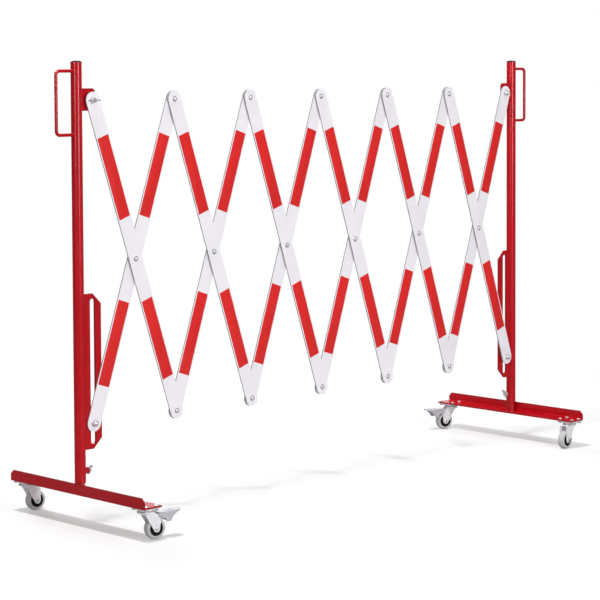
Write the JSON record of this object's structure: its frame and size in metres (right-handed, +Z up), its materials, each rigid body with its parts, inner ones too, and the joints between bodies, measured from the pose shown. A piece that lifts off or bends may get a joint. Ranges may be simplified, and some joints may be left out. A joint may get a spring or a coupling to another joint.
{
  "type": "expanding barrier",
  "caption": "Mobile expanding traffic barrier: red and white scissor lattice between two red posts with grab handles, each on an angle foot with two swivel castors.",
  "frame": {"origin": "on the floor, midway between the two posts and midway along the feet", "axes": "+Z up, X along the barrier with the wing-nut post at -X, the front with the bolt heads faces -Y"},
  "size_m": [1.742, 0.5132, 1.1033],
  "materials": {
    "red_paint": "glossy signal red enamel",
    "white_paint": "satin white enamel; the red bands are stuck on and are left to the visual model",
    "zinc_steel": "bright zinc plating",
    "black_plastic": "matt moulded",
    "grey_rubber": "non-marking grey rubber"
  },
  "bodies": {
    "left_frame": {"left_post": "red_paint", "left_post_cap": "black_plastic", "left_handle": "red_paint", "left_pivot_bracket": "red_paint", "left_slot_plate": "red_paint", "left_foot": "red_paint", "left_castor_bolts": "zinc_steel", "front_left_castor_head": "zinc_steel", "back_left_castor_head": "zinc_steel", "left_top_bolt": "zinc_steel"},
    "right_frame": {"right_post": "red_paint", "right_post_cap": "black_plastic", "right_handle": "red_paint", "right_pivot_bracket": "red_paint", "right_slot_plate": "red_paint", "right_foot": "red_paint", "right_castor_bolts": "zinc_steel", "front_right_castor_head": "zinc_steel", "back_right_castor_head": "zinc_steel", "right_top_bolt": "zinc_steel"},
    "front_bar_1": {"front_bar_1": "white_paint", "pivot_bolts_1": "zinc_steel"},
    "back_bar_1": {"back_bar_1": "white_paint", "left_slide_bolt": "zinc_steel"},
    "front_bar_2": {"front_bar_2": "white_paint", "pivot_bolts_2": "zinc_steel"},
    "back_bar_2": {"back_bar_2": "white_paint"},
    "front_bar_3": {"front_bar_3": "white_paint", "pivot_bolts_3": "zinc_steel"},
    "back_bar_3": {"back_bar_3": "white_paint"},
    "front_bar_4": {"front_bar_4": "white_paint", "pivot_bolts_4": "zinc_steel"},
    "back_bar_4": {"back_bar_4": "white_paint"},
    "front_bar_5": {"front_bar_5": "white_paint", "pivot_bolts_5": "zinc_steel"},
    "back_bar_5": {"back_bar_5": "white_paint"},
    "front_bar_6": {"front_bar_6": "white_paint", "pivot_bolts_6": "zinc_steel"},
    "back_bar_6": {"back_bar_6": "white_paint"},
    "left_wing_nut": {"left_wing_nut": "zinc_steel"},
    "left_clamp_screw": {"left_clamp_screw": "zinc_steel"},
    "right_clamp_screw": {"right_clamp_screw": "zinc_steel"},
    "front_left_swivel": {"front_left_fork": "zinc_steel", "front_left_axle": "zinc_steel"},
    "front_left_wheel": {"front_left_wheel_core": "black_plastic", "front_left_tyre": "grey_rubber"},
    "front_left_brake_pedal": {"front_left_brake_pedal": "zinc_steel"},
    "back_left_swivel": {"back_left_fork": "zinc_steel", "back_left_axle": "zinc_steel"},
    "back_left_wheel": {"back_left_wheel_core": "black_plastic", "back_left_tyre": "grey_rubber"},
    "front_right_swivel": {"front_right_fork": "zinc_steel", "front_right_axle": "zinc_steel"},
    "front_right_wheel": {"front_right_wheel_core": "black_plastic", "front_right_tyre": "grey_rubber"},
    "back_right_swivel": {"back_right_fork": "zinc_steel", "back_right_axle": "zinc_steel"},
    "back_right_wheel": {"back_right_wheel_core": "black_plastic", "back_right_tyre": "grey_rubber"},
    "back_right_brake_pedal": {"back_right_brake_pedal": "zinc_steel"}
  },
  "joints": [
    {"name": "lattice_extension", "type": "hinge", "parent": "left_frame", "child": "front_bar_1", "pos_m": [-0.7695, -0.011, 1.00981], "axis": [0, -1, 0], "range_deg": [-14.46, 35.14]},
    {"name": "middle_pivot_1", "type": "hinge", "parent": "front_bar_1", "child": "back_bar_1", "pos_m": [-0.64125, -0.011, 0.62566], "axis": [0, 1, 0], "range_deg": [-28.92, 70.28]},
    {"name": "top_pivot_1", "type": "hinge", "parent": "back_bar_1", "child": "front_bar_2", "pos_m": [-0.513, -0.011, 1.00981], "axis": [0, -1, 0], "range_deg": [-28.92, 70.28]},
    {"name": "middle_pivot_2", "type": "hinge", "parent": "front_bar_2", "child": "back_bar_2", "pos_m": [-0.38475, -0.011, 0.62566], "axis": [0, 1, 0], "range_deg": [-28.92, 70.28]},
    {"name": "top_pivot_2", "type": "hinge", "parent": "back_bar_2", "child": "front_bar_3", "pos_m": [-0.2565, -0.011, 1.00981], "axis": [0, -1, 0], "range_deg": [-28.92, 70.28]},
    {"name": "middle_pivot_3", "type": "hinge", "parent": "front_bar_3", "child": "back_bar_3", "pos_m": [-0.12825, -0.011, 0.62566], "axis": [0, 1, 0], "range_deg": [-28.92, 70.28]},
    {"name": "top_pivot_3", "type": "hinge", "parent": "back_bar_3", "child": "front_bar_4", "pos_m": [0, -0.011, 1.00981], "axis": [0, -1, 0], "range_deg": [-28.92, 70.28]},
    {"name": "middle_pivot_4", "type": "hinge", "parent": "front_bar_4", "child": "back_bar_4", "pos_m": [0.12825, -0.011, 0.62566], "axis": [0, 1, 0], "range_deg": [-28.92, 70.28]},
    {"name": "top_pivot_4", "type": "hinge", "parent": "back_bar_4", "child": "front_bar_5", "pos_m": [0.2565, -0.011, 1.00981], "axis": [0, -1, 0], "range_deg": [-28.92, 70.28]},
    {"name": "middle_pivot_5", "type": "hinge", "parent": "front_bar_5", "child": "back_bar_5", "pos_m": [0.38475, -0.011, 0.62566], "axis": [0, 1, 0], "range_deg": [-28.92, 70.28]},
    {"name": "top_pivot_5", "type": "hinge", "parent": "back_bar_5", "child": "front_bar_6", "pos_m": [0.513, -0.011, 1.00981], "axis": [0, -1, 0], "range_deg": [-28.92, 70.28]},
    {"name": "middle_pivot_6", "type": "hinge", "parent": "front_bar_6", "child": "back_bar_6", "pos_m": [0.64125, -0.011, 0.62566], "axis": [0, 1, 0], "range_deg": [-28.92, 70.28]},
    {"name": "right_top_pivot", "type": "hinge", "parent": "back_bar_6", "child": "right_frame", "pos_m": [0.7695, -0.011, 1.00981], "axis": [0, -1, 0], "range_deg": [-14.46, 35.14]},
    {"name": "left_wing_nut_turn", "type": "hinge", "parent": "left_frame", "child": "left_wing_nut", "pos_m": [-0.7695, -0.02, 1.00981], "axis": [0, -1, 0], "continuous": true},
    {"name": "left_clamp_screw_turn", "type": "hinge", "parent": "left_frame", "child": "left_clamp_screw", "pos_m": [-0.7815, 0, 0.13], "axis": [1, 0, 0], "continuous": true},
    {"name": "right_clamp_screw_turn", "type": "hinge", "parent": "right_frame", "child": "right_clamp_screw", "pos_m": [0.7815, 0, 0.13], "axis": [-1, 0, 0], "continuous": true},
    {"name": "front_left_swivel_turn", "type": "hinge", "parent": "left_frame", "child": "front_left_swivel", "pos_m": [-0.7957, -0.223, 0.07], "axis": [0, 0, 1], "continuous": true},
    {"name": "front_left_wheel_spin", "type": "hinge", "parent": "front_left_swivel", "child": "front_left_wheel", "pos_m": [-0.77207, -0.22717, 0.025], "axis": [0.1736, 0.9848, 0], "continuous": true},
    {"name": "front_left_brake_press", "type": "hinge", "parent": "front_left_swivel", "child": "front_left_brake_pedal", "pos_m": [-0.76025, -0.22925, 0.054], "axis": [0.1736, 0.9848, 0], "range_deg": [0, 13]},
    {"name": "back_left_swivel_turn", "type": "hinge", "parent": "left_frame", "child": "back_left_swivel", "pos_m": [-0.7957, 0.223, 0.07], "axis": [0, 0, 1], "continuous": true},
    {"name": "back_left_wheel_spin", "type": "hinge", "parent": "back_left_swivel", "child": "back_left_wheel", "pos_m": [-0.77183, 0.22049, 0.025], "axis": [0.1045, 0.9945, 0], "continuous": true},
    {"name": "front_right_swivel_turn", "type": "hinge", "parent": "right_frame", "child": "front_right_swivel", "pos_m": [0.7957, -0.223, 0.07], "axis": [0, 0, 1], "continuous": true},
    {"name": "front_right_wheel_spin", "type": "hinge", "parent": "front_right_swivel", "child": "front_right_wheel", "pos_m": [0.77179, -0.22509, 0.025], "axis": [0.0872, -0.9962, 0], "continuous": true},
    {"name": "back_right_swivel_turn", "type": "hinge", "parent": "right_frame", "child": "back_right_swivel", "pos_m": [0.7957, 0.223, 0.07], "axis": [0, 0, 1], "continuous": true},
    {"name": "back_right_wheel_spin", "type": "hinge", "parent": "back_right_swivel", "child": "back_right_wheel", "pos_m": [0.77287, 0.23042, 0.025], "axis": [-0.309, -0.9511, 0], "continuous": true},
    {"name": "back_right_brake_press", "type": "hinge", "parent": "back_right_swivel", "child": "back_right_brake_pedal", "pos_m": [0.76146, 0.23412, 0.054], "axis": [-0.309, -0.9511, 0], "range_deg": [0, 13]}
  ],
  "couplings": [
    {"joint": "middle_pivot_1", "follows": "lattice_extension", "ratio": 2},
    {"joint": "top_pivot_1", "follows": "lattice_extension", "ratio": 2},
    {"joint": "middle_pivot_2", "follows": "lattice_extension", "ratio": 2},
    {"joint": "top_pivot_2", "follows": "lattice_extension", "ratio": 2},
    {"joint": "middle_pivot_3", "follows": "lattice_extension", "ratio": 2},
    {"joint": "top_pivot_3", "follows": "lattice_extension", "ratio": 2},
    {"joint": "middle_pivot_4", "follows": "lattice_extension", "ratio": 2},
    {"joint": "top_pivot_4", "follows": "lattice_extension", "ratio": 2},
    {"joint": "middle_pivot_5", "follows": "lattice_extension", "ratio": 2},
    {"joint": "top_pivot_5", "follows": "lattice_extension", "ratio": 2},
    {"joint": "middle_pivot_6", "follows": "lattice_extension", "ratio": 2},
    {"joint": "right_top_pivot", "follows": "lattice_extension", "ratio": 1}
  ]
}
